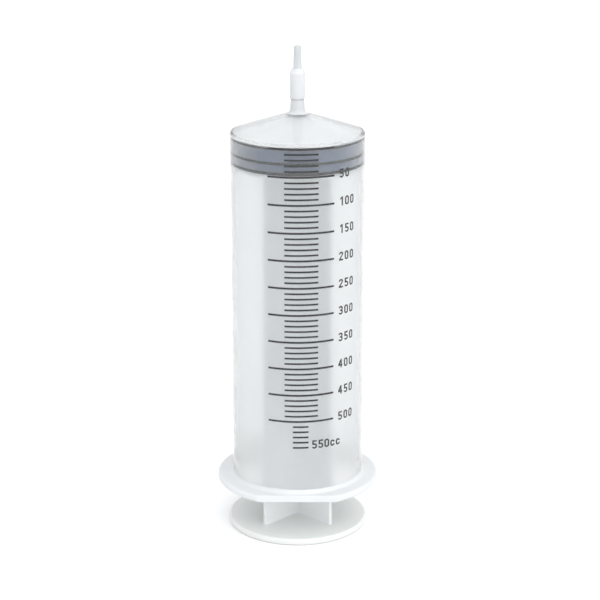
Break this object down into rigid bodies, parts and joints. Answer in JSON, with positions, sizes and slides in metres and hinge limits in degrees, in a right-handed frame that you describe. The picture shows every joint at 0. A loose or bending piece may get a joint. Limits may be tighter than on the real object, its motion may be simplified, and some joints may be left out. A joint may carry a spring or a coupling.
{
  "type": "meat injector",
  "caption": "Large hand syringe for marinade: clear graduated barrel with conical end, finger flange, slip-tip adapter, lip-sealed piston and cross-ribbed plunger with a thumb disc.",
  "frame": {"origin": "centre of the thumb disc's underside, on the axis", "axes": "+Z along the axis towards the nozzle, -Y is the side with the printed scale, +X to the right when facing the scale"},
  "size_m": [0.0874, 0.0756, 0.2628],
  "materials": {
    "frosted_polypropylene": "translucent, satin, slightly frosted",
    "adapter_plastic": "milky, satin",
    "white_polypropylene": "satin, moulded",
    "seal_rubber": "smooth black-grey rubber, satin",
    "scale_ink": "matte printed ink"
  },
  "bodies": {
    "barrel": {"barrel": "frosted_polypropylene", "graduation_minor_lines": "scale_ink", "graduation_major_lines": "scale_ink", "graduation_end_lines": "scale_ink", "graduation_numbers": "scale_ink", "capacity_mark": "scale_ink"},
    "piston": {"piston_head": "white_polypropylene", "piston_seal": "seal_rubber"},
    "plunger": {"plunger_rod": "white_polypropylene", "thumb_disc": "white_polypropylene"},
    "adapter": {"nozzle_adapter": "adapter_plastic"}
  },
  "joints": [
    {"name": "piston_turn", "type": "hinge", "parent": "plunger", "child": "piston", "pos_m": [0, 0, 0.2035], "axis": [0, 0, 1], "continuous": true},
    {"name": "plunger_stroke", "type": "slide", "parent": "piston", "child": "barrel", "axis": [0, 0, 1], "range_m": [0, 0.1607]},
    {"name": "adapter_pull", "type": "slide", "parent": "barrel", "child": "adapter", "axis": [0, 0, 1], "range_m": [0, 0.02]}
  ]
}
